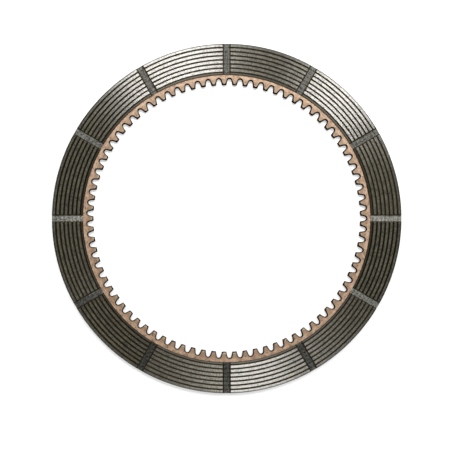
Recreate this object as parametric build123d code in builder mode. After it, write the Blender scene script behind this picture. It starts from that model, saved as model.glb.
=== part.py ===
from build123d import *
import os
from math import acos, cos, radians, sin, tan

os.makedirs("parts", exist_ok=True)

# A friction disc of a wet multi-plate clutch: a toothed steel core plate
# with a sintered friction lining bonded to each of its two faces.
# The disc lies flat. Z is its axis and the origin is its centre.

# Internal teeth, which slide on the splines of the clutch hub
tooth_count = 81
pitch_diameter = 257.175
pressure_angle = 14.5
tooth_module = pitch_diameter / tooth_count
space_width = 1.43 * tooth_module
tip_height = 0.8 * tooth_module
flank_end_height = 0.63 * tooth_module
tip_chamfer = 0.3

# Core plate
core_thickness = 2.6

# Friction linings, bonded to the core between the teeth and the rim
lining_thickness = 1.2
lining_width = 29.2
lining_setback = 3.62
rim_setback = 0.3
rim_bevel_width = 1.0
rim_bevel_depth = 0.3
inner_bevel_depth = 0.4

# Oil grooves that run round each lining, evenly spaced between two margins
groove_count = 7
groove_width = 1.1
groove_depth = 0.7
inner_margin = 2.3
outer_margin = 3.6

# Oil channels that run straight out across each lining
channel_count = 12
channel_mouth_width = 7.3
channel_floor_width = 5.2
channel_depth = 0.8
cutter_overrun = 2


def involute(angle):
    """The involute function of a pressure angle in radians."""
    return tan(angle) - angle


def flank_angle(radius):
    """Half the angle, in radians, that a space between two teeth spans at a radius.
    Inside the base circle, where an involute ends, the flank runs straight to the axis."""
    half_at_pitch = space_width / pitch_diameter + involute(radians(pressure_angle))
    return half_at_pitch - involute(acos(base_radius / max(radius, base_radius)))


def flank_point(radius):
    """The point at a radius on the upper flank of the space that lies on the X axis."""
    return (radius * cos(flank_angle(radius)), radius * sin(flank_angle(radius)))


pitch_radius = pitch_diameter / 2
base_radius = pitch_radius * cos(radians(pressure_angle))
tip_radius = pitch_radius - tip_height

# The root of a space is one arc, tangent to both flanks where they end
flank_end_radius = pitch_radius + flank_end_height
flank_end = flank_point(flank_end_radius)
flank_slope = acos(base_radius / flank_end_radius) - flank_angle(flank_end_radius)
root_arc_radius = flank_end[1] / cos(flank_slope)
root_radius = flank_end[0] + root_arc_radius * (1 - sin(flank_slope))

# The corner where a chamfer meets the tip of a tooth
mouth_angle = flank_angle(tip_radius) + tip_chamfer / tip_radius
mouth_corner = (tip_radius * cos(mouth_angle), tip_radius * sin(mouth_angle))

lining_inner_radius = root_radius + lining_setback
lining_outer_radius = lining_inner_radius + lining_width
core_radius = lining_outer_radius + rim_setback
lining_bottom = core_thickness / 2
lining_top = lining_bottom + lining_thickness
groove_pitch = (lining_width - inner_margin - outer_margin) / (groove_count - 1)
groove_radii = [lining_inner_radius + inner_margin + groove_pitch * i for i in range(groove_count)]

# The outline of one space between two teeth, open towards the bore
with BuildSketch() as tooth_space:
    with BuildLine():
        chamfer_end = flank_point(tip_radius + tip_chamfer)
        mouth_end = (tip_radius - cutter_overrun, mouth_corner[1])
        Polyline((mouth_end[0], 0), mouth_end, mouth_corner, chamfer_end)
        ThreePointArc(chamfer_end, flank_point(pitch_radius), flank_end)
        mirror(about=Plane.XZ)
        ThreePointArc(flank_end, (root_radius, 0), (flank_end[0], -flank_end[1]))
    make_face()

with BuildPart() as core_plate:
    with BuildSketch(Plane.XY.offset(-core_thickness / 2)):
        Circle(core_radius)
        Circle(tip_radius, mode=Mode.SUBTRACT)
        with PolarLocations(0, tooth_count):
            add(tooth_space.sketch, mode=Mode.SUBTRACT)
    extrude(amount=core_thickness)
core_plate.part.label = "core_plate"
export_step(core_plate.part, "parts/core_plate.step")

# One straight channel, with a flat floor and sloping walls, along the X axis
with BuildPart() as channel:
    with BuildSketch(Plane.YZ.offset(lining_inner_radius - cutter_overrun)):
        with BuildLine():
            channel_floor = lining_top - channel_depth
            channel_sky = lining_top + cutter_overrun
            Polyline(
                (0, channel_floor),
                (channel_floor_width / 2, channel_floor),
                (channel_mouth_width / 2, lining_top),
                (channel_mouth_width / 2, channel_sky),
                (0, channel_sky),
            )
            mirror(about=Plane.YZ)
        make_face()
    extrude(amount=lining_width + 2 * cutter_overrun)

with BuildPart() as front_lining:
    with BuildSketch(Plane.XZ):
        with BuildLine():
            Polyline(
                (lining_inner_radius, lining_bottom),
                (lining_inner_radius, lining_top - inner_bevel_depth),
                (groove_radii[0] - groove_width / 2, lining_top),
                (lining_outer_radius - rim_bevel_width, lining_top),
                (lining_outer_radius, lining_top - rim_bevel_depth),
                (lining_outer_radius, lining_bottom),
                close=True,
            )
        make_face()
        for radius in groove_radii:
            with BuildLine():
                Polyline(
                    (radius - groove_width / 2, lining_top),
                    (radius, lining_top - groove_depth),
                    (radius + groove_width / 2, lining_top),
                    close=True,
                )
            make_face(mode=Mode.SUBTRACT)
    revolve(axis=Axis.Z)
    with PolarLocations(0, channel_count):
        add(channel.part, mode=Mode.SUBTRACT)
front_lining.part.label = "front_lining"
export_step(front_lining.part, "parts/front_lining.step")

with BuildPart() as back_lining:
    mirror(front_lining.part, about=Plane.XY)
back_lining.part.label = "back_lining"
export_step(back_lining.part, "parts/back_lining.step")
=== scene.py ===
import math
import bpy
import numpy as np
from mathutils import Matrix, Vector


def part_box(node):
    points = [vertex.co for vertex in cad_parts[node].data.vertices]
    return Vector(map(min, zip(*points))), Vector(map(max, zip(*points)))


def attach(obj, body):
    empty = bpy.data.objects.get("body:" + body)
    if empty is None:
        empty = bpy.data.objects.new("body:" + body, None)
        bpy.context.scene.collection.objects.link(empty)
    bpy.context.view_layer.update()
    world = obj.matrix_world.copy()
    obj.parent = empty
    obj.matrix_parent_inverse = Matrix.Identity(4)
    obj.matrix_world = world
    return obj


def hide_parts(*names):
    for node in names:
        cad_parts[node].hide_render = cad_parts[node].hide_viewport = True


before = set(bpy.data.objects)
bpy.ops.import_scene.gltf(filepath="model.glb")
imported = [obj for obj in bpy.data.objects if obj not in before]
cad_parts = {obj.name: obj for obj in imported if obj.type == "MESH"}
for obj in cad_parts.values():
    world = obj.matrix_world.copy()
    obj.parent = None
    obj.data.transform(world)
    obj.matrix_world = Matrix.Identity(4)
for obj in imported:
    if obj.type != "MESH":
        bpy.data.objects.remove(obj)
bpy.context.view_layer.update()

mm = 0.001
root = "root"
sharpAngle = 42              # degrees; an edge that turns more than this stays crisp
rng = np.random.default_rng(81)

# The disc lies flat on the floor, with its axis along Z and its centre at the origin.
coreLow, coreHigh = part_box("core_plate")
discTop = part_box("front_lining")[1].z
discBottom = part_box("back_lining")[0].z


# Mesh helpers

def writeMesh(name, points, masks):
    # A closed skin over a grid that wraps both ways: ring i of the section, step j round the disc.
    # Each quad joins a point to its neighbours. The sum of a . (b x c) over its triangles has the sign of
    # the volume, and where it is negative the corners are taken the other way round.
    rings, steps = points.shape[:2]
    index = np.arange(rings * steps).reshape(rings, steps)
    nextStep = np.roll(index, -1, axis=1)
    nextRing = np.roll(index, -1, axis=0)
    nextBoth = np.roll(nextRing, -1, axis=1)
    quads = np.stack([index, nextStep, nextBoth, nextRing], axis=-1).reshape(-1, 4)
    flat = points.reshape(-1, 3)
    a, b, c, d = (flat[quads[:, corner]] for corner in range(4))
    volume = (a * np.cross(b, c)).sum() + (a * np.cross(c, d)).sum()
    if volume < 0:
        quads = quads[:, ::-1]
    mesh = bpy.data.meshes.new(name)
    mesh.vertices.add(len(flat))
    mesh.vertices.foreach_set("co", flat.astype(np.float32).ravel())
    mesh.loops.add(quads.size)
    mesh.loops.foreach_set("vertex_index", quads.astype(np.int32).ravel())
    mesh.polygons.add(len(quads))
    mesh.polygons.foreach_set("loop_start", np.arange(0, quads.size, 4, dtype=np.int32))
    mesh.update(calc_edges=True)
    mesh.validate()
    mesh.shade_smooth()
    mesh.set_sharp_from_angle(angle=math.radians(sharpAngle))
    for label, values in masks.items():
        attribute = mesh.attributes.new(label, "FLOAT", "POINT")
        everyPoint = np.broadcast_to(values, (rings, steps)).astype(np.float32)
        attribute.data.foreach_set("value", everyPoint.ravel())
    piece = bpy.data.objects.new(name, mesh)
    bpy.context.scene.collection.objects.link(piece)
    print("made", name, len(quads) * 2, "triangles")
    return piece


def roundRamp(x, soft):
    # Half of x plus half the root of x squared plus soft squared: near zero below the corner, near x above
    # it, and rounded between.
    return 0.5 * (x + np.sqrt(x * x + soft * soft))


def ramp(x):
    # x held between 0 and 1.
    return np.clip(x, 0, 1)


def wavyNoise(angles, waves, size):
    # A sum of cosines round the circle with random phases, so it closes on itself.
    orders = np.arange(*waves)
    phases = rng.uniform(0, 2 * np.pi, len(orders))
    weights = rng.normal(0, 1, len(orders)) / math.sqrt(len(orders) / 2)
    return size * (weights * np.cos(np.outer(angles, orders) + phases)).sum(axis=1)


# Core plate

toothCount = 81
pitchDiameter = 257.175 * mm
toothModule = pitchDiameter / toothCount
plate = {
    "pressureAngle": 14.5,       # degrees
    "spaceWidth": 1.43 * toothModule,
    "tipHeight": 0.8 * toothModule,
    "flankEndHeight": 0.63 * toothModule,
    "tipChamfer": 0.3 * mm,
    "tipPoints": 4,              # outline points on half a tip, on a flank and on half a root
    "flankPoints": 7,
    "rootPoints": 8,
    "edgeWidth": 0.72 * mm,      # rounded edge seen from above
    "edgeDrop": 0.65 * mm,       # how far that edge goes down the wall
    "edgeRings": 7,              # grid rings over that edge
    "faceRings": (0.92 * mm, 1.15 * mm),    # grid rings beyond it, in the stain and painted shade
    "stainAndShadeWidth": 1.4 * mm,      # how far the dark edge, partly stain and partly painted shade, fades into the face
    "paintedShadeAzimuth": 60,          # degrees; painted shade: walls that face away from here, away from the lamps, are darkest
    "paintedShadeLoss": 0.42,           # share of the painted shade that is taken off where they face towards it
    "collarGap": 1 * mm,         # from a ring on the bare collar to the linings' inner edge
    "rimRound": 0.35 * mm,
    "rimMiddle": 0.3,            # inset of its middle ring, as a share of the round
}


def spaceHalfAngle(radius):
    # Half the angle of a tooth space: its half angle at the pitch circle, plus the involute function of the
    # pressure angle, minus the involute function of acos(base / radius).
    fixed = math.radians(plate["pressureAngle"])
    slope = np.arccos(pitchDiameter / 2 * math.cos(fixed) / radius)
    return plate["spaceWidth"] / pitchDiameter + (math.tan(fixed) - fixed) - (np.tan(slope) - slope)


def toothOutline():
    # One pitch of the bore round a space centred on +X: half a tip, chamfer, involute flank and round root,
    # then the mirror image without its two end points. The rows are x, y and the two parts of the way into
    # the metal, which is the normal, leaning over at the corners of the tip.
    pitch = pitchDiameter / 2
    base = pitch * math.cos(math.radians(plate["pressureAngle"]))
    tip = pitch - plate["tipHeight"]
    flankEnd = pitch + plate["flankEndHeight"]
    flankRadii = np.linspace(tip + plate["tipChamfer"], flankEnd, plate["flankPoints"])
    flankAngles = spaceHalfAngle(flankRadii)
    flankOut = np.stack([np.cos(flankAngles), np.sin(flankAngles)])
    flank = flankRadii * flankOut
    lean = math.acos(base / flankRadii[-1]) - flankAngles[-1]
    rootArc = flank[1, -1] / math.cos(lean)
    arcCentre = flank[0, -1] - rootArc * math.sin(lean)
    turn = np.linspace(math.pi / 2 - lean, 0, plate["rootPoints"] + 1)[1:]
    rootOut = np.stack([np.cos(turn), np.sin(turn)])
    root = np.array([[arcCentre], [0]]) + rootArc * rootOut
    mouthAngle = spaceHalfAngle(tip) + plate["tipChamfer"] / tip
    tipAngles = np.linspace(math.pi / toothCount, mouthAngle, plate["tipPoints"])
    tipOut = np.stack([np.cos(tipAngles), np.sin(tipAngles)])
    outline = np.concatenate([tip * tipOut, flank, root], axis=1)

    slopeX, slopeY = np.gradient(flank, axis=1)
    flankIn = np.stack([-slopeY, slopeX]) / np.hypot(slopeX, slopeY)
    fade = np.linspace(1, 0, plate["flankPoints"]) ** 2
    tipIn = tipOut + flankIn[:, :1] * np.linspace(0, 1, plate["tipPoints"])
    inward = np.concatenate([tipIn, flankIn + flankOut * fade, rootOut], axis=1)
    half = np.concatenate([outline, inward])
    mirrored = half[:, -2:0:-1] * np.array([[1], [-1], [1], [-1]])
    return np.concatenate([half, mirrored], axis=1)


def roundDisc(x, y):
    # The points (x, y) turned about the axis, once for each tooth, as one run of x and one of y.
    turn = -np.arange(toothCount)[:, None] * 2 * np.pi / toothCount
    turnedX = x * np.cos(turn) - y * np.sin(turn)
    turnedY = x * np.sin(turn) + y * np.cos(turn)
    return turnedX.ravel(), turnedY.ravel()


def corePlateMesh():
    # Over the rounded edge, a quarter ellipse, the bore outline moves into the metal. Then each point runs
    # straight out to the rim. The section goes up the wall, over the front face and down the rim, and the
    # back is its mirror image. The dark tooth edge is partly stain and partly painted shade. Its mask is the
    # share of its width that is left, to the power 1 / (1 + a) on a wall that faces away from the painted
    # shade's azimuth by a, and times one minus the shade loss share times t on one that faces towards it by
    # t, so that walls facing away from the lamps get the most painted shade.
    outline = toothOutline()
    x, y = roundDisc(outline[0], outline[1])
    inX, inY = roundDisc(outline[2], outline[3])
    around = np.arctan2(y, x)
    # Painted shade: the dark edge is wider and darker on walls that face away from the lamps.
    azimuth = math.radians(plate["paintedShadeAzimuth"])
    away = (inX * math.cos(azimuth) + inY * math.sin(azimuth)) / np.hypot(inX, inY)
    power = 1 / (1 + ramp(away))
    kept = 1 - plate["paintedShadeLoss"] * ramp(-away)

    top = coreHigh.z
    turn = np.linspace(0, math.pi / 2, plate["edgeRings"])
    facePush = [*plate["faceRings"], plate["stainAndShadeWidth"]]
    push = np.concatenate([plate["edgeWidth"] * (1 - np.cos(turn)), facePush])[:, None]
    height = np.concatenate([top - plate["edgeDrop"] * (1 - np.sin(turn)), [top] * len(facePush)])[:, None]
    boreRings = np.stack(np.broadcast_arrays(x + inX * push, y + inY * push, height), axis=-1)
    boreStainAndShade = (1 - push / plate["stainAndShadeWidth"]) ** power * kept

    rim = min(coreHigh.x, -coreLow.x, coreHigh.y, -coreLow.y)
    rimRound = plate["rimRound"]
    rimMiddle = plate["rimMiddle"] * rimRound
    edge = lining["innerRadius"]
    radius = np.array([edge - plate["collarGap"], edge, rim - rimRound, rim - rimMiddle, rim])[:, None]
    height = np.array([top, top, top, top - rimMiddle, top - rimRound])[:, None]
    outerX = radius * np.cos(around)
    outerY = radius * np.sin(around)
    outerRings = np.stack(np.broadcast_arrays(outerX, outerY, height), axis=-1)

    front = np.concatenate([boreRings, outerRings])
    stainAndShade = np.concatenate([boreStainAndShade, np.zeros(outerRings.shape[:2])])
    back = front[::-1] * np.array([1, 1, -1])
    mask = np.concatenate([stainAndShade, stainAndShade[::-1]])
    return writeMesh("toothed_core", np.concatenate([front, back]), {"toothWall": mask})


# Linings

lining = {
    "innerRadius": 135.475 * mm,
    "outerRadius": 164.675 * mm,
    "grooveCount": 7,
    "grooveWidth": 1.1 * mm,
    "grooveDepth": 0.7 * mm,
    "innerMargin": 2.3 * mm,
    "outerMargin": 3.6 * mm,
    "innerBevelDepth": 0.4 * mm,
    "rimBevelWidth": 1.0 * mm,
    "rimBevelDepth": 0.3 * mm,
    "channelCount": 12,
    "channelMouth": 7.3 * mm,
    "channelFloor": 5.2 * mm,
    "channelDepth": 0.8 * mm,
    # Lengths over which wear has rounded the corners
    "lipSoftness": 0.1 * mm,     # groove lips
    "endSoftness": 0.06 * mm,    # land ends at the channels
    "floorSoftness": 0.12 * mm,  # foot of the channel walls
    "bevelSoftness": 0.04 * mm,
    # Waver of the grooves
    "lipWander": 0.02 * mm,      # how far the lips stray sideways
    "wanderWaves": (40, 330),    # range of waves round the disc
    "wanderReach": 1.4,          # groove widths from a groove's centre to where nothing strays
    "widthSpread": 0.06,         # share by which the widths vary
    "widthWaves": (60, 330),
    # Grid
    "landSteps": 50,             # steps along one land
    "boreRings": (0, 0.12 * mm, 0.4 * mm),    # outwards from the inner edge
    # Rings about each groove, in half groove widths from its centre
    "grooveRings": (-2.8, -1.8, -1.35, -1.1, -0.95, -0.75, -0.3, 0.3, 0.75, 0.95, 1.1, 1.35, 1.8, 2.8),
    "bevelRings": (0.6 * mm, 0.1 * mm, -0.1 * mm),    # inwards from where the rim bevel starts
    "rimRings": (0.1 * mm, 0),                        # inwards from the rim
    "mouthSteps": (0.5 * mm, 0.2 * mm, 0, -0.25 * mm),    # outwards from the edge of a channel's mouth
    "floorSteps": (0.2 * mm, 0, -0.25 * mm),              # and of its floor
    "farAway": 1.0,              # stands for the distance from a land to a channel's centre line
    # Finish, with one value for each land or channel, counter-clockwise from +X
    "landTwist": (-11, 0, 0, 0, -2, 0, -6, -36, 8, 8, 2, 0),     # degrees that the turning marks lean
    "landDull": (-0.03, 0, 0.04, 0, -0.03, 0, 0, 0.05, 0.02, 0, 0.19, 0),    # roughness added to a land
    "landShade": (0, 0, 0.43, 0, 0, 0, 0, 0, 0.6, 0, 0.36, 0),   # painted shade: share of the shine taken off a land
    "floorDull": (0.15, 0.2, 0.25, 0.25, 0.2, 0.2, 0.15, 0.2, 0.2, 0.2, 0.2, 0.15),    # and to a channel
    "floorPaintedLight": (0.67, 0.48, 0.35, 0.31, 0.46, 0.41, 1.22, 0.98, 0.33, 0.74, 0.68, 0.86),    # painted light and shade: brightness of each channel floor
    # Reach of the finish
    "grooveFull": 0.2,           # share of the groove depth from which a groove has its full dark colour, painted shade
    "lipFade": 1.0 * mm,         # from a groove's edge to where its dark lip, painted shade, ends
    "bandWidth": 0.5 * mm,       # dark bands that the grooves leave across the channel floors
    "floorFade": 0.2 * mm,
    "wallReach": 0.35 * mm,      # how far the channel walls' dark colour, painted shade, goes past the mouth, and how it fades
    "wallFade": 0.3 * mm,
    "channelInset": 0.1 * mm,    # from the mouth to where the channel's own grain starts
    "marginEnd": 2.4 * mm,       # from the inner edge to where the margin's colour ends, and how it fades
    "marginFade": 1.4 * mm,
    "bevelLine": 0.85 * mm,      # paler line in the margin: its place, width and strength
    "bevelLineWidth": 0.3 * mm,
    "bevelLineShare": 0.22,
    "rimShadeStart": 2.2 * mm,    # from the rim to where its painted shade starts, and how it rises
    "rimShadeRise": 2 * mm,
    "strokeRadius": 150,         # mm; the slanted strokes are laid out at this radius
}


def grooveCentres():
    # Radii in even steps from the inner margin to the outer one.
    first = lining["innerRadius"] + lining["innerMargin"]
    last = lining["outerRadius"] - lining["outerMargin"]
    return np.linspace(first, last, lining["grooveCount"])


def ringRadii():
    # Radii of the grid rings, with close steps at each groove lip, and the groove that each ring follows.
    rim = lining["outerRadius"]
    bevel = lining["rimBevelWidth"]
    aboutGroove = np.array(lining["grooveRings"]) * lining["grooveWidth"] / 2
    inner = lining["innerRadius"] + np.array(lining["boreRings"])
    grooves = grooveCentres()[:, None] + aboutGroove
    bevelRings = rim - bevel - np.array(lining["bevelRings"])
    outer = np.concatenate([bevelRings, [rim - bevel / 2], rim - np.array(lining["rimRings"])])
    follows = np.repeat(np.arange(lining["grooveCount"]), len(aboutGroove))
    follows = np.pad(follows, (len(inner), len(outer)), mode="edge")
    return np.concatenate([inner, grooves.ravel(), outer]), follows


def channelOffsets():
    # Distances of the steps across a channel from its centre line.
    mouth = lining["channelMouth"] / 2
    floor = lining["channelFloor"] / 2
    mouthSteps = mouth + np.array(lining["mouthSteps"])
    floorSteps = floor + np.array(lining["floorSteps"])
    side = np.concatenate([mouthSteps, [(mouth + floor) / 2], floorSteps, [floor / 2]])
    return np.concatenate([-side, [0], side[::-1]])


def stepAngles(radii):
    # The angle of each grid point. A channel's steps are at asin(offset / radius) from its centre line, so
    # its walls stay parallel, and a land's steps divide evenly what is left between two channels.
    count = lining["channelCount"]
    sector = 2 * np.pi / count
    channelAngle = np.arcsin(channelOffsets()[None, :] / radii[:, None])
    landStart = channelAngle[:, -1:]
    shares = np.linspace(0, 1, lining["landSteps"] + 2)[1:-1]
    landAngle = landStart + shares[None, :] * (sector - 2 * landStart)
    oneSector = np.concatenate([channelAngle, landAngle], axis=1)
    return (oneSector[:, None, :] + np.arange(count)[None, :, None] * sector).reshape(len(radii), -1)


def lineDistances():
    # The distance of each step from its channel's centre line.
    onLand = np.full(lining["landSteps"], lining["farAway"])
    return np.tile(np.concatenate([np.abs(channelOffsets()), onLand]), lining["channelCount"])


def grooveDepths(fromGroove, halfWidth):
    # V grooves: (half the width - distance from the centre) * slope, no deeper than the groove depth and
    # with rounded lips.
    slope = 2 * lining["grooveDepth"] / lining["grooveWidth"]
    depth = roundRamp((halfWidth - fromGroove) * slope, lining["lipSoftness"])
    depth = np.minimum(depth, lining["grooveDepth"])
    return np.where(fromGroove > lining["grooveWidth"], 0, depth)


def channelDepths(fromLine):
    # Channels: (half the mouth - distance from the centre line) * slope, held at the floor, with rounded
    # corners at the mouth and at the floor.
    full = lining["channelDepth"]
    slope = 2 * full / (lining["channelMouth"] - lining["channelFloor"])
    depth = roundRamp((lining["channelMouth"] / 2 - fromLine) * slope, lining["endSoftness"])
    depth = full - roundRamp(full - depth, lining["floorSoftness"])
    return np.where(fromLine == lining["farAway"], 0, np.maximum(depth, 0))


def bevelDepths(radii):
    # The inner bevel falls evenly from the first groove to the inner edge, and the rim bevel over its width.
    centres = grooveCentres()
    soft = lining["bevelSoftness"]
    innerStart = centres[0] - lining["grooveWidth"] / 2
    innerFall = lining["innerBevelDepth"] / (innerStart - lining["innerRadius"])
    inner = roundRamp((innerStart - radii) * innerFall, soft)
    rimStart = lining["outerRadius"] - lining["rimBevelWidth"]
    rimFall = lining["rimBevelDepth"] / lining["rimBevelWidth"]
    rim = roundRamp((radii - rimStart) * rimFall, soft)
    beyond = radii > centres[-1] + lining["grooveWidth"]
    return np.where(radii < centres[0], inner, np.where(beyond, rim, 0))


def edgeMasks(radii):
    # The margin and the rim's painted shade change evenly over their widths. The margin has a paler line in
    # it, which is a bell curve of the distance from the inner edge.
    fromInner = radii[:, None] - lining["innerRadius"]
    toRim = lining["outerRadius"] - radii[:, None]
    line = np.exp(-((fromInner - lining["bevelLine"]) / lining["bevelLineWidth"]) ** 2)
    margin = ramp((lining["marginEnd"] - fromInner) / lining["marginFade"])
    return {
        "margin": margin * (1 - lining["bevelLineShare"] * line),
        "rimShade": ramp((lining["rimShadeStart"] - toRim) / lining["rimShadeRise"]),
    }


def reliefMasks(fromGroove, halfWidth, grooveDepth, fromLine):
    # Floors, walls, grooves and lips change evenly over their widths, and bands are bell curves of the
    # distance from a groove. Nothing but the bands shows on the channel floors.
    floorEnd = (lining["channelFloor"] + lining["floorFade"]) / 2
    floor = ramp((floorEnd - fromLine) / lining["floorFade"])
    # Walls, grooves and lips get dark colour as painted shade.
    wall = ramp((lining["channelMouth"] / 2 + lining["wallReach"] - fromLine) / lining["wallFade"])
    groove = ramp(grooveDepth / (lining["grooveFull"] * lining["grooveDepth"]))
    lip = ramp(1 - (fromGroove - halfWidth) / lining["lipFade"])
    band = np.exp(-(fromGroove / lining["bandWidth"]) ** 2)
    return {
        "floor": floor,
        "wall": wall * (1 - floor),
        "groove": groove * (1 - floor),
        "lip": lip * (1 - floor),
        "band": band * floor,
    }


def landMasks(angles, fromLine):
    # What each land and channel has of its own. A step before a channel's centre line is on the land before
    # that channel.
    count = lining["channelCount"]
    offsets = channelOffsets()
    before = np.concatenate([offsets < 0, np.zeros(lining["landSteps"])]).astype(int)
    channelNumber = np.repeat(np.arange(count), len(before))
    landNumber = channelNumber - np.tile(before, count)
    lineAngle = 2 * np.pi / count * landNumber
    inChannel = fromLine < lining["channelMouth"] / 2 - lining["channelInset"]
    landTwist = np.radians(lining["landTwist"])[landNumber]
    landDull = np.array(lining["landDull"])[landNumber]
    landShade = np.array(lining["landShade"])[landNumber]
    floorDull = np.array(lining["floorDull"])[channelNumber]
    return {
        "grainTurn": np.where(inChannel, math.pi / 2, landTwist),
        "dull": np.where(inChannel, floorDull, landDull),
        "sectorShade": np.where(inChannel, 0, landShade),
        "floorPaintedLight": np.array(lining["floorPaintedLight"])[channelNumber],
        "along": (angles - lineAngle) * lining["strokeRadius"],
    }


def liningMesh(name, top, bottom):
    # A disc of rings and steps. Each point lies below the lands by the greatest of its groove, channel and
    # bevel depths. Two more rings, without a finish, close the disc underneath.
    radii, follows = ringRadii()
    angles = stepAngles(radii)
    centres = grooveCentres()
    fromGroove = np.abs(radii - centres[follows])[:, None]
    fromLine = lineDistances()

    # Each groove strays sideways and varies in width round the disc.
    meanAngle = angles[len(radii) // 2]
    wander = np.stack([wavyNoise(meanAngle, lining["wanderWaves"], lining["lipWander"]) for _ in centres])
    widths = np.stack([wavyNoise(meanAngle, lining["widthWaves"], lining["widthSpread"]) for _ in centres])
    stray = ramp(1 - fromGroove / (lining["wanderReach"] * lining["grooveWidth"])) * wander[follows]
    stray[[0, -1]] = 0
    shifted = radii[:, None] + stray
    halfWidth = lining["grooveWidth"] / 2 * (1 + widths[follows])

    grooveDepth = grooveDepths(fromGroove, halfWidth)
    depth = np.maximum(grooveDepth, channelDepths(fromLine))
    depth = np.maximum(depth, bevelDepths(radii)[:, None])
    heights = np.sign(top) * (abs(top) - depth)
    surface = np.stack([shifted * np.cos(angles), shifted * np.sin(angles), heights], axis=-1)
    under = surface[[-1, 0]].copy()
    under[..., 2] = bottom

    masks = {
        **edgeMasks(radii),
        **reliefMasks(fromGroove, halfWidth, grooveDepth, fromLine),
        **landMasks(angles, fromLine),
    }
    for label, values in masks.items():
        values = np.broadcast_to(values, heights.shape)
        masks[label] = np.concatenate([values, values[[-1, 0]] * 0])
    return writeMesh(name, np.concatenate([surface, under]), masks)


print("shapes")
corePiece = corePlateMesh()
frontPiece = liningMesh("grooved_front_lining", discTop, coreHigh.z)
backPiece = liningMesh("grooved_back_lining", discBottom, coreLow.z)


# Material helpers

def fillSockets(tree, node, values):
    # A value that is a socket is linked, and any other is set.
    for key, value in values.items():
        if isinstance(value, bpy.types.NodeSocket):
            tree.links.new(value, node.inputs[key])
        else:
            node.inputs[key].default_value = value


def addNode(tree, kind, values=None, **settings):
    node = tree.nodes.new(kind)
    for key, value in settings.items():
        setattr(node, key, value)
    fillSockets(tree, node, values or {})
    return node


def mathNode(tree, operation, first, second=0.0, third=0.0, clamp=False):
    values = {0: first, 1: second, 2: third}
    return addNode(tree, "ShaderNodeMath", values, operation=operation, use_clamp=clamp).outputs[0]


def vectorNode(tree, operation, values, output=0):
    return addNode(tree, "ShaderNodeVectorMath", values, operation=operation).outputs[output]


def times(tree, first, second):
    return mathNode(tree, "MULTIPLY", first, second)


def flatVector(tree, vector):
    # The part of a vector that lies across the disc's axis.
    return vectorNode(tree, "MULTIPLY", {0: vector, 1: (1, 1, 0)})


def weightedSum(tree, values, weights):
    total = 0.0
    for value, weight in zip(values, weights):
        total = mathNode(tree, "MULTIPLY_ADD", value, weight, total)
    return total


def strongest(tree, first, *others):
    for other in others:
        first = mathNode(tree, "MAXIMUM", first, other)
    return first


def mixColours(tree, share, first, second, blend="MIX"):
    values = {0: share, 6: first, 7: second}
    return addNode(tree, "ShaderNodeMix", values, data_type="RGBA", blend_type=blend).outputs[2]


def between(tree, value, low, high, newLow=0.0, newHigh=1.0):
    # value carried from the range low..high to newLow..newHigh and held at its ends.
    values = {0: value, 1: low, 2: high, 3: newLow, 4: newHigh}
    return addNode(tree, "ShaderNodeMapRange", values).outputs[0]


def noiseNode(tree, place, values):
    return addNode(tree, "ShaderNodeTexNoise", {"Vector": place, **values}).outputs["Fac"]


def turnedVector(tree, vector, angle):
    values = {"Vector": vector, "Angle": angle}
    return addNode(tree, "ShaderNodeVectorRotate", values, rotation_type="Z_AXIS").outputs[0]


def attributeValue(tree, label):
    return addNode(tree, "ShaderNodeAttribute", attribute_name=label).outputs["Fac"]


def srgb(red, green, blue):
    # A screen colour from 0 to 255 as linear light.
    values = [channel / 255 for channel in (red, green, blue)]
    return tuple(v / 12.92 if v < 0.04045 else ((v + 0.055) / 1.055) ** 2.4 for v in values) + (1,)


# Effects that the materials share

def makeGroup(name, inputs, outputs):
    # Gives the group, the sockets that it reads and the node that it ends in.
    group = bpy.data.node_groups.new(name, "ShaderNodeTree")
    for label in inputs:
        kind = "NodeSocketVector" if label == "Vector" else "NodeSocketFloat"
        group.interface.new_socket(name=label, in_out="INPUT", socket_type=kind)
    for label in outputs:
        group.interface.new_socket(name=label, in_out="OUTPUT", socket_type="NodeSocketFloat")
    return group, group.nodes.new("NodeGroupInput").outputs, group.nodes.new("NodeGroupOutput")


def useGroup(tree, group, values):
    return addNode(tree, "ShaderNodeGroup", values, node_tree=group).outputs


def turningMarksGroup():
    # Noise drawn out round the axis. It is read at (direction * Around, radius * Across), so it closes on
    # itself.
    group, given, end = makeGroup("turning marks", ["Vector", "Across", "Around"], ["Marks", "Radius"])
    flat = flatVector(group, given["Vector"])
    radius = vectorNode(group, "LENGTH", {0: flat}, "Value")
    direction = vectorNode(group, "NORMALIZE", {0: flat})
    spread = vectorNode(group, "SCALE", {0: direction, "Scale": given["Around"]})
    parts = addNode(group, "ShaderNodeSeparateXYZ", {0: spread}).outputs
    across = times(group, radius, given["Across"])
    place = addNode(group, "ShaderNodeCombineXYZ", {0: parts[0], 1: parts[1], 2: across}).outputs[0]
    marks = noiseNode(group, place, {"Scale": 1.0, "Detail": 3.0, "Roughness": 0.6})
    fillSockets(group, end, {"Marks": marks, "Radius": radius})
    return group


def grainGroup():
    # Fine grain and scattered specks of uneven shape: a speck is where a second noise passes a high level.
    sharpness = 25.0         # how steeply a speck rises from its edge
    inputs = ["Vector", "Grain Scale", "Speck Scale", "Speck Level"]
    group, given, end = makeGroup("grain and specks", inputs, ["Grain", "Specks"])
    grainValues = {"Scale": given["Grain Scale"], "Detail": 4.0, "Roughness": 0.65}
    speckValues = {"Scale": given["Speck Scale"], "Detail": 3.0, "Roughness": 0.55}
    above = mathNode(group, "SUBTRACT", noiseNode(group, given["Vector"], speckValues), given["Speck Level"])
    specks = mathNode(group, "MULTIPLY", above, sharpness, clamp=True)
    fillSockets(group, end, {"Grain": noiseNode(group, given["Vector"], grainValues), "Specks": specks})
    return group


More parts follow.
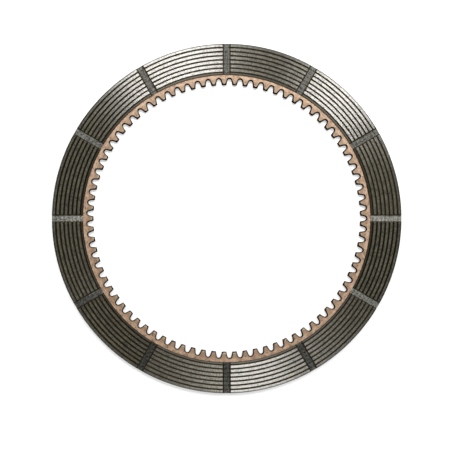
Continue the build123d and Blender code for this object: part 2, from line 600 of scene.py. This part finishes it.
def strokesGroup():
    # Short slanted strokes: a noise read at (Along, Radius) in mm, turned by the slant and then squeezed
    # across the strokes. A stroke is where the noise falls under a level.
    slant = 0.9              # radians
    squeeze = (3.0, 0.9, 0)  # waves per mm across and along a stroke
    group, given, end = makeGroup("slanted strokes", ["Along", "Radius"], ["Strokes"])
    radius = times(group, given["Radius"], 1 / mm)
    place = addNode(group, "ShaderNodeCombineXYZ", {0: given["Along"], 1: radius}).outputs[0]
    stretched = vectorNode(group, "MULTIPLY", {0: turnedVector(group, place, slant), 1: squeeze})
    fillSockets(group, end, {"Strokes": noiseNode(group, stretched, {"Scale": 1.0, "Detail": 2.0})})
    return group


turningMarks = turningMarksGroup()
grainAndSpecks = grainGroup()
slantedStrokes = strokesGroup()


def startMaterial(name):
    material = bpy.data.materials.new(name)
    material.use_nodes = True
    tree = material.node_tree
    tree.nodes.clear()
    shader = tree.nodes.new("ShaderNodeBsdfPrincipled")
    addNode(tree, "ShaderNodeOutputMaterial", {"Surface": shader.outputs[0]})
    place = addNode(tree, "ShaderNodeTexCoord").outputs["Object"]
    return material, tree, shader, place


# Sintered bronze of the linings

bronzeLook = {
    "landDark": srgb(46, 44, 27),
    "landLight": srgb(96, 91, 70),
    "lipColour": srgb(49, 44, 31),       # groove lips, in painted shade, and specks
    "grooveColour": srgb(50, 44, 30),    # grooves, in painted shade, and slanted strokes
    # Channel walls and the land just past them, dark as painted shade
    "wallColour": srgb(56, 50, 38),
    "floorDark": srgb(78, 77, 71),
    "floorLight": srgb(176, 175, 167),
    "marginColour": srgb(52, 47, 35),
    # Painted shade on the rim bevel
    "rimColour": srgb(34, 32, 24),
    "marks": {"Across": 3500.0, "Around": 26.0},
    "grain": {"Grain Scale": 1300.0, "Speck Scale": 600.0, "Speck Level": 0.65},
    "blotch": {"Scale": 90.0, "Detail": 3.0},
    "coarse": {"Scale": 700.0, "Detail": 2.0},
    "landParts": (0.35, 0.2, 0.45),      # turning marks, blotches and coarse grain in the lands' tone
    "landRange": (0.42, 0.58),           # from all dark to all light
    "floorParts": (0.65, 0.35, -0.09),   # coarse grain, fine grain and bands in the channel floors' tone
    "floorRange": (0.36, 0.64),
    "strokeRange": (0.47, 0.36),         # from no stroke to a full one
    "speckShare": 0.7,                   # how far each covers the lands' colour
    "strokeShare": 0.55,
    "rimShare": 0.9,
    "lipRange": (0.2, 0.9),              # lip mask from no dark colour to all of it
    "landMetal": 0.12,                   # Metallic of a clean land
    "marginMetal": 0.95,
    "rimMetalRange": (0.3, 0.75, 0.0, 0.8),    # rim's painted shade, from and to, and Metallic there
    "lipMetalRange": (0.54, 0.88),       # lip mask from no metal to all metal
    "mottleRange": (0.56, 0.36),         # coarse grain from none of its share to all of it
    "mottleParts": (0.38, 0.36, 0.45),   # coarse grain, strokes and specks that take the shine off a land
    "marksRange": (0.3, 0.7),            # turning marks from the least to the most roughness
    "roughness": (0.35, 0.49),
    "darkRoughness": 0.3,                # added in the grooves, on the channel walls and on the margin
    "anisotropy": 1.0,
    "ior": 3.5,
    "sheenTint": (1.0, 0.986, 0.97, 1),
    "bumpParts": (0.5, 0.5, -0.6, -0.3),    # turning marks, grain, specks and strokes
    "bumpStrength": 0.24,
    "bumpDistance": 0.12 * mm,
}


def bronzeMaterial():
    # Turned sintered bronze: light lands with turning marks and pits, dark grooves, grained channel floors.
    # Painted shade darkens the grooves, their lips, the channel walls, the rim and some lands, and painted
    # light and shade sets each channel floor's brightness.
    look = bronzeLook
    material, tree, shader, place = startMaterial("turned sintered bronze")
    marks = useGroup(tree, turningMarks, {"Vector": place, **look["marks"]})
    fine = useGroup(tree, grainAndSpecks, {"Vector": place, **look["grain"]})
    groove = attributeValue(tree, "groove")
    floor = attributeValue(tree, "floor")
    wall = attributeValue(tree, "wall")
    margin = attributeValue(tree, "margin")
    lip = attributeValue(tree, "lip")
    rimShade = attributeValue(tree, "rimShade")
    # Painted shade on some lands, which takes part of their shine off
    sectorShade = attributeValue(tree, "sectorShade")
    notFloor = mathNode(tree, "SUBTRACT", 1.0, floor)
    blotch = noiseNode(tree, place, look["blotch"])
    coarse = noiseNode(tree, place, look["coarse"])
    strokePlace = {"Along": attributeValue(tree, "along"), "Radius": marks["Radius"]}
    strokeNoise = useGroup(tree, slantedStrokes, strokePlace)["Strokes"]
    strokes = times(tree, between(tree, strokeNoise, *look["strokeRange"]), notFloor)

    # Colour of the lands, then of the channel floors, then walls and grooves, dark as painted shade, and
    # floors over the lands
    landNoise = weightedSum(tree, (marks["Marks"], blotch, coarse), look["landParts"])
    landShare = between(tree, landNoise, *look["landRange"])
    land = mixColours(tree, landShare, look["landDark"], look["landLight"])
    land = mixColours(tree, times(tree, fine["Specks"], look["speckShare"]), land, look["lipColour"])
    land = mixColours(tree, times(tree, strokes, look["strokeShare"]), land, look["grooveColour"])
    land = mixColours(tree, times(tree, rimShade, look["rimShare"]), land, look["rimColour"])
    land = mixColours(tree, margin, land, look["marginColour"])
    land = mixColours(tree, between(tree, lip, *look["lipRange"]), land, look["lipColour"])
    band = attributeValue(tree, "band")
    floorNoise = weightedSum(tree, (coarse, fine["Grain"], band), look["floorParts"])
    floorShare = between(tree, floorNoise, *look["floorRange"])
    floorColour = mixColours(tree, floorShare, look["floorDark"], look["floorLight"])
    # Painted light and shade: each channel floor is made brighter or darker.
    paintedFloorLight = attributeValue(tree, "floorPaintedLight")
    paintedFloorLightColour = addNode(tree, "ShaderNodeCombineColor", {0: paintedFloorLight, 1: paintedFloorLight, 2: paintedFloorLight}).outputs[0]
    floorColour = mixColours(tree, 1.0, floorColour, paintedFloorLightColour, "MULTIPLY")
    colour = mixColours(tree, wall, land, look["wallColour"])
    colour = mixColours(tree, groove, colour, look["grooveColour"])
    colour = mixColours(tree, floor, colour, floorColour)

    # Roughness follows the turning marks, and the dark places are rougher.
    roughness = between(tree, marks["Marks"], *look["marksRange"], *look["roughness"])
    roughness = mathNode(tree, "ADD", roughness, attributeValue(tree, "dull"))
    darkPlaces = strongest(tree, margin, wall, groove)
    roughness = mathNode(tree, "MULTIPLY_ADD", darkPlaces, look["darkRoughness"], roughness, clamp=True)

    # The dark places and the channel floors are all metal, which takes the pale shine off them; on the
    # walls, grooves, lips and rim this is part of their painted shade. Mottle takes part of it off the
    # lands, and painted shade takes more off some lands.
    mottle = between(tree, coarse, *look["mottleRange"])
    mottle = weightedSum(tree, (mottle, strokes, fine["Specks"]), look["mottleParts"])
    noSectorShade = mathNode(tree, "SUBTRACT", 1.0, sectorShade)
    mottle = mathNode(tree, "MULTIPLY_ADD", mottle, noSectorShade, sectorShade, clamp=True)
    metal = strongest(
        tree, look["landMetal"], groove, wall,
        times(tree, margin, look["marginMetal"]),
        between(tree, rimShade, *look["rimMetalRange"]),
        between(tree, lip, *look["lipMetalRange"]),
        times(tree, mottle, notFloor),
    )

    # The shine is drawn out across the turning marks, which run round the axis or lean on some lands.
    outward = vectorNode(tree, "NORMALIZE", {0: flatVector(tree, place)})
    height = weightedSum(tree, (marks["Marks"], fine["Grain"], fine["Specks"], strokes), look["bumpParts"])
    bump = {"Height": height, "Strength": look["bumpStrength"], "Distance": look["bumpDistance"]}
    fillSockets(tree, shader, {
        "Base Color": colour,
        "Roughness": roughness,
        "Metallic": mathNode(tree, "ADD", floor, metal, clamp=True),
        "Tangent": turnedVector(tree, outward, attributeValue(tree, "grainTurn")),
        "Normal": addNode(tree, "ShaderNodeBump", bump).outputs[0],
        "Anisotropic": look["anisotropy"],
        "IOR": look["ior"],
        "Specular Tint": look["sheenTint"],
    })
    return material


# Copper coat of the core plate

copperLook = {
    "copper": srgb(173, 147, 124),
    "copperDark": srgb(118, 91, 69),
    "tan": srgb(122, 102, 82),
    "tipWearAndHighlight": srgb(182, 166, 145),
    "speck": srgb(66, 46, 33),
    # The next two colours darken the tooth edges and walls: partly stain, partly painted shade.
    "stainAndShade": srgb(56, 40, 28),
    "wall": srgb(24, 15, 7),
    "marks": {"Across": 1800.0, "Around": 30.0},
    "grain": {"Grain Scale": 900.0, "Speck Scale": 620.0, "Speck Level": 0.6},
    "blotch": {"Scale": 260.0, "Detail": 4.0},
    "mottleParts": (0.5, 0.5),           # turning marks and blotches
    "mottleRange": (0.385, 0.595),       # from all dark to all light
    "tanRange": (130.6 * mm, 132.8 * mm, 0.75, 0.0),    # radii between which the teeth's tan fades out
    "tipWearAndHighlightRange": (127.6 * mm, 129.2 * mm, 0.9, 0.0),    # and the paler tips, partly wear and partly painted highlight
    "tipWearAndHighlightRagged": 2.0 * mm,              # how far blotches shift the edge of those paler tips
    "speckShare": 0.8,                   # how far specks cover the colour
    "stainAndShadeRagged": 0.8,                  # how much blotches change the stain and painted shade
    "stainAndShadeMiddle": 0.5,                  # the blotch that leaves it as it is
    "stainAndShadeRange": (0.05, 0.5),           # from clean copper to all stain and painted shade
    "wallRange": (0.31, 0.66),           # from all stain and painted shade to the near-black walls
    "grainRange": (0.3, 0.7),            # grain from the least to the most roughness
    "roughness": (0.42, 0.62),
    "wallRoughness": 0.6,                # added on the near-black walls
    "metallic": (0.15, 0.85),            # of the face and of the near-black walls
    "specular": 1.0,
    "specularTint": (0.5, 0.43, 0.36, 1),
    "bumpParts": (0.4, 0.6),             # turning marks and grain
    "bumpStrength": 0.3,
    "bumpDistance": 0.1 * mm,
}


def copperMaterial():
    # Thin matt copper on steel: mottled, with faint streaks round the axis and specks. The dark tooth edges
    # and walls are partly stain and partly painted shade, and the paler tips partly wear and partly painted
    # highlight.
    look = copperLook
    material, tree, shader, place = startMaterial("copper coated steel")
    marks = useGroup(tree, turningMarks, {"Vector": place, **look["marks"]})
    fine = useGroup(tree, grainAndSpecks, {"Vector": place, **look["grain"]})
    blotch = noiseNode(tree, place, look["blotch"])
    toothWall = attributeValue(tree, "toothWall")
    mottle = weightedSum(tree, (marks["Marks"], blotch), look["mottleParts"])
    mottle = between(tree, mottle, *look["mottleRange"])
    colour = mixColours(tree, mottle, look["copperDark"], look["copper"])
    colour = mixColours(tree, between(tree, marks["Radius"], *look["tanRange"]), colour, look["tan"])
    # Paler tooth tips: partly wear, partly painted highlight.
    raggedRadius = mathNode(tree, "MULTIPLY_ADD", blotch, look["tipWearAndHighlightRagged"], marks["Radius"])
    colour = mixColours(tree, between(tree, raggedRadius, *look["tipWearAndHighlightRange"]), colour, look["tipWearAndHighlight"])
    colour = mixColours(tree, times(tree, fine["Specks"], look["speckShare"]), colour, look["speck"])
    # Dark tooth edges and walls: partly stain, partly painted shade, strongest on walls facing away from
    # lamps.
    centred = mathNode(tree, "SUBTRACT", blotch, look["stainAndShadeMiddle"])
    stainAndShade = mathNode(tree, "MULTIPLY_ADD", centred, look["stainAndShadeRagged"], toothWall)
    colour = mixColours(tree, between(tree, stainAndShade, *look["stainAndShadeRange"]), colour, look["stainAndShade"])
    wallStainAndShade = between(tree, toothWall, *look["wallRange"])
    colour = mixColours(tree, wallStainAndShade, colour, look["wall"])
    roughness = between(tree, fine["Grain"], *look["grainRange"], *look["roughness"])
    height = weightedSum(tree, (marks["Marks"], fine["Grain"]), look["bumpParts"])
    bump = {"Height": height, "Strength": look["bumpStrength"], "Distance": look["bumpDistance"]}
    fillSockets(tree, shader, {
        "Base Color": colour,
        "Roughness": mathNode(tree, "MULTIPLY_ADD", wallStainAndShade, look["wallRoughness"], roughness, clamp=True),
        "Metallic": between(tree, wallStainAndShade, 0.0, 1.0, *look["metallic"]),
        "Normal": addNode(tree, "ShaderNodeBump", bump).outputs[0],
        "Specular IOR Level": look["specular"],
        "Specular Tint": look["specularTint"],
    })
    return material


print("materials")
bronze = bronzeMaterial()
copper = copperMaterial()
for piece, material, node, slot in (
    (corePiece, copper, "core_plate", "core"),
    (frontPiece, bronze, "front_lining", "lining"),
    (backPiece, bronze, "back_lining", "lining"),
):
    piece.data.materials.append(material)
    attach(piece, root)
    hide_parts(node)


# Floor, world, lamps and camera

studio = {
    "floorSize": 8.0,
    "floorColour": (0.5, 0.5, 0.5, 1),
    # The floor's glow, for the camera and in reflections: metres from the centre and strength there
    "glowRange": (0.3, 0.9, 0.5, 1.0),
    # World light: a direction's part along Y, from and to, and the strength there
    "skyRange": (-0.6, 0.6, 0.06, 0.2),
}

# Each lamp's place is its azimuth, its angle from straight up and its distance. Its size is in metres too,
# and its power in watts.
lamps = {
    "key": {"azimuth": 107.5, "zenith": 37, "distance": 0.85, "power": 6.85, "across": 0.34, "along": 0.36},
    "side": {"azimuth": 48, "zenith": 37, "distance": 0.85, "power": 5.4, "across": 0.24, "along": 0.36},
    "fill": {"azimuth": 282, "zenith": 37, "distance": 0.85, "power": 2.0, "across": 0.26, "along": 0.36},
}

view = {
    "distance": 0.6,             # camera above the front face
    "pixels": 450,               # width and height of the photograph
    "discRadiusPixels": 175.2,   # radius of the disc in it
    "centreX": 226.7,            # place of the disc's centre in it, from its top left corner
    "centreY": 218.5,
    "sensorWidth": 36,
}


def makeFloor():
    half = studio["floorSize"] / 2
    mesh = bpy.data.meshes.new("floor")
    corners = [(-half, -half), (half, -half), (half, half), (-half, half)]
    mesh.from_pydata([(x, y, discBottom) for x, y in corners], [], [(0, 1, 2, 3)])
    floor = bpy.data.objects.new("floor", mesh)
    bpy.context.scene.collection.objects.link(floor)
    material = bpy.data.materials.new("pale floor")
    material.use_nodes = True
    tree = material.node_tree
    tree.nodes.clear()
    diffuse = addNode(tree, "ShaderNodeBsdfDiffuse", {"Color": studio["floorColour"]})
    path = addNode(tree, "ShaderNodeLightPath")
    seen = strongest(tree, path.outputs["Is Camera Ray"], path.outputs["Is Glossy Ray"])
    place = addNode(tree, "ShaderNodeTexCoord").outputs["Object"]
    away = vectorNode(tree, "LENGTH", {0: place}, "Value")
    strength = times(tree, seen, between(tree, away, *studio["glowRange"]))
    glow = addNode(tree, "ShaderNodeEmission", {"Strength": strength})
    both = addNode(tree, "ShaderNodeAddShader", {0: diffuse.outputs[0], 1: glow.outputs[0]})
    addNode(tree, "ShaderNodeOutputMaterial", {"Surface": both.outputs[0]})
    mesh.materials.append(material)


def makeWorld():
    # Soft light that grows towards +Y. The camera sees plain white.
    world = bpy.data.worlds.new("studio")
    world.use_nodes = True
    bpy.context.scene.world = world
    tree = world.node_tree
    direction = addNode(tree, "ShaderNodeTexCoord").outputs["Generated"]
    north = addNode(tree, "ShaderNodeSeparateXYZ", {0: direction}).outputs[1]
    light = between(tree, north, *studio["skyRange"])
    seen = addNode(tree, "ShaderNodeLightPath").outputs["Is Camera Ray"]
    background = {"Color": (1, 1, 1, 1), "Strength": strongest(tree, light, seen)}
    fillSockets(tree, tree.nodes["Background"], background)


def makeLamp(label, values):
    azimuth = math.radians(values["azimuth"])
    zenith = math.radians(values["zenith"])
    lamp = bpy.data.lights.new(label + " lamp", "AREA")
    lamp.energy = values["power"]
    lamp.shape = "RECTANGLE"
    lamp.size = values["along"]
    lamp.size_y = values["across"]
    holder = bpy.data.objects.new(label + " lamp", lamp)
    bpy.context.scene.collection.objects.link(holder)
    reach = values["distance"] * math.sin(zenith)
    height = values["distance"] * math.cos(zenith)
    holder.location = (reach * math.cos(azimuth), reach * math.sin(azimuth), height)
    holder.rotation_euler = (0, zenith, azimuth)


def makeCamera():
    # At the front face the picture is as wide as pixels / (radius in pixels) disc radii.
    camera = bpy.data.cameras.new("camera")
    width = coreHigh.x * view["pixels"] / view["discRadiusPixels"]
    camera.sensor_width = view["sensorWidth"]
    camera.lens = view["sensorWidth"] * view["distance"] / width
    camera.shift_x = (view["pixels"] / 2 - view["centreX"]) / view["pixels"]
    camera.shift_y = (view["centreY"] - view["pixels"] / 2) / view["pixels"]
    holder = bpy.data.objects.new("camera", camera)
    bpy.context.scene.collection.objects.link(holder)
    holder.location = (0, 0, discTop + view["distance"])
    bpy.context.scene.camera = holder


print("studio")
makeFloor()
makeWorld()
for label, values in lamps.items():
    makeLamp(label, values)
makeCamera()
bpy.context.scene.view_settings.view_transform = "Standard"
